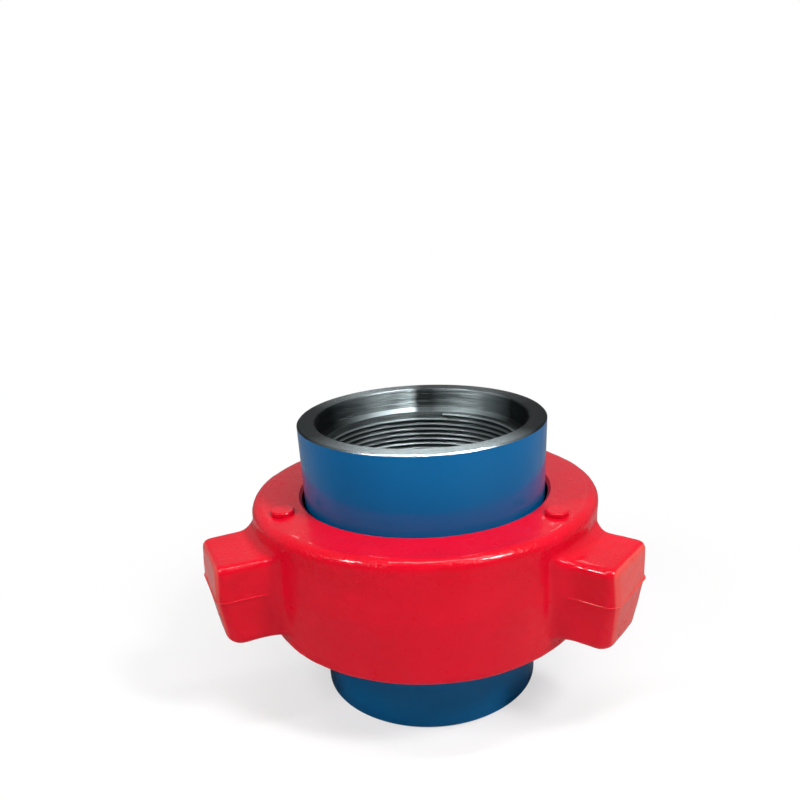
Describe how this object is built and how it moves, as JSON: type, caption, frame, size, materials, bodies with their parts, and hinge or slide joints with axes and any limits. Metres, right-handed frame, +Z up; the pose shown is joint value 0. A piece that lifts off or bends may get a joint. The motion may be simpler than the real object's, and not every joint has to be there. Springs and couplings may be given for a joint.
{
  "type": "hammer union",
  "caption": "Pipe union made up with a hammer: a lugged wing nut draws a ball-nosed sub onto a cone-seated sub with a lip seal.",
  "frame": {"origin": "centre of the female sub's lower end face, which the union stands on", "axes": "+Z up the pipe axis from the female sub to the male sub; +X to the right of someone facing along +Y"},
  "size_m": [0.2396, 0.2298, 0.167],
  "materials": {
    "female_sub_paint": "gloss",
    "male_sub_paint": "gloss",
    "seal_rubber": "satin",
    "nut_paint": "gloss"
  },
  "bodies": {
    "female_sub": {"female_sub": "female_sub_paint", "seal_ring": "seal_rubber"},
    "male_sub": {"male_sub": "male_sub_paint"},
    "wing_nut": {"wing_nut": "nut_paint"}
  },
  "joints": [
    {"name": "male_lift", "type": "slide", "parent": "female_sub", "child": "male_sub", "axis": [0, 0, 1], "range_m": [0, 0.0382]},
    {"name": "nut_turn", "type": "hinge", "parent": "male_sub", "child": "wing_nut", "pos_m": [0, 0, 0.1], "axis": [0, 0, 1], "range_deg": [0, 1620]}
  ],
  "couplings": [
    {"joint": "male_lift", "follows": "nut_turn", "m_per_rad": 0.0013475}
  ]
}
